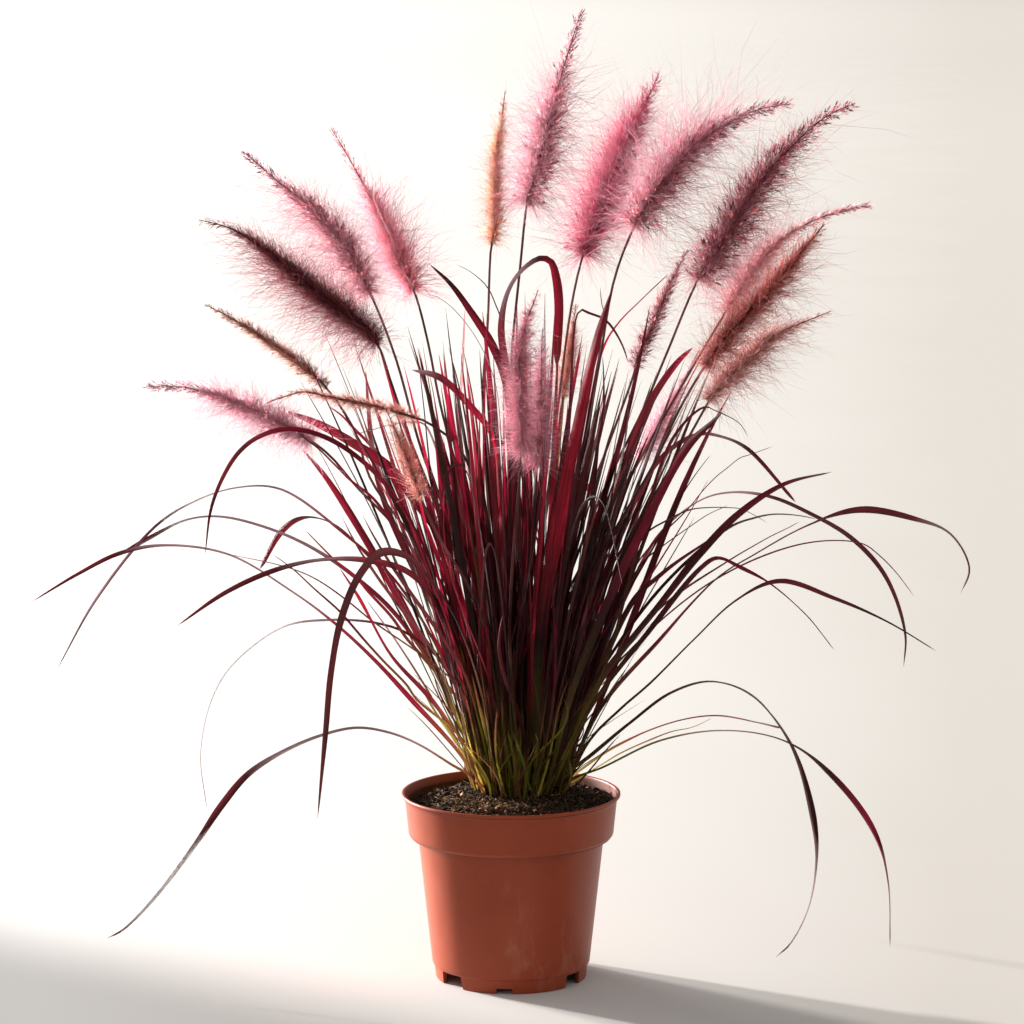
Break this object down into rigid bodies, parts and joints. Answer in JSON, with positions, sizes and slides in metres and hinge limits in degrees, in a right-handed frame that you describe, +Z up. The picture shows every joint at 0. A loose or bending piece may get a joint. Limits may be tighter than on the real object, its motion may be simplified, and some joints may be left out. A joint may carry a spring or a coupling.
{
  "type": "potted fountain grass clump",
  "caption": "Purple fountain grass clump with arching leaves and feathery plumes, growing in a round plastic nursery pot with a notched foot.",
  "frame": {"origin": "on the floor in the middle of the pot's foot", "axes": "+Z up along the pot's axis, +X to the right and +Y away from a viewer in front"},
  "size_m": [0.7963, 0.634, 0.835],
  "materials": {
    "pot": "satin",
    "soil": "matte",
    "tuft": "satin",
    "leaf": "satin",
    "flower_stem": "matte"
  },
  "bodies": {
    "root": {"pot": "pot", "soil": "soil", "tuft": "tuft", "flower_stem_01": "flower_stem", "flower_stem_02": "flower_stem", "flower_stem_03": "flower_stem", "flower_stem_04": "flower_stem", "flower_stem_05": "flower_stem", "flower_stem_06": "flower_stem", "flower_stem_07": "flower_stem", "flower_stem_08": "flower_stem", "flower_stem_09": "flower_stem", "flower_stem_10": "flower_stem", "flower_stem_11": "flower_stem", "flower_stem_12": "flower_stem", "flower_stem_13": "flower_stem", "flower_stem_14": "flower_stem", "flower_stem_15": "flower_stem", "flower_stem_16": "flower_stem", "flower_stem_17": "flower_stem", "flower_stem_18": "flower_stem", "flower_stem_19": "flower_stem", "flower_stem_20": "flower_stem", "leaf_01": "leaf", "leaf_02": "leaf", "leaf_03": "leaf", "leaf_04": "leaf", "leaf_05": "leaf", "leaf_06": "leaf", "leaf_07": "leaf", "leaf_08": "leaf", "leaf_09": "leaf", "leaf_10": "leaf", "leaf_11": "leaf", "leaf_12": "leaf", "leaf_13": "leaf", "leaf_14": "leaf", "leaf_15": "leaf", "leaf_16": "leaf", "leaf_17": "leaf", "leaf_18": "leaf", "leaf_19": "leaf", "leaf_20": "leaf", "leaf_21": "leaf", "leaf_22": "leaf", "leaf_23": "leaf", "leaf_24": "leaf", "leaf_25": "leaf", "leaf_26": "leaf", "leaf_27": "leaf", "leaf_28": "leaf", "leaf_29": "leaf", "leaf_30": "leaf", "leaf_31": "leaf", "leaf_32": "leaf", "leaf_33": "leaf", "leaf_34": "leaf", "leaf_35": "leaf", "leaf_36": "leaf"}
  },
  "joints": []
}
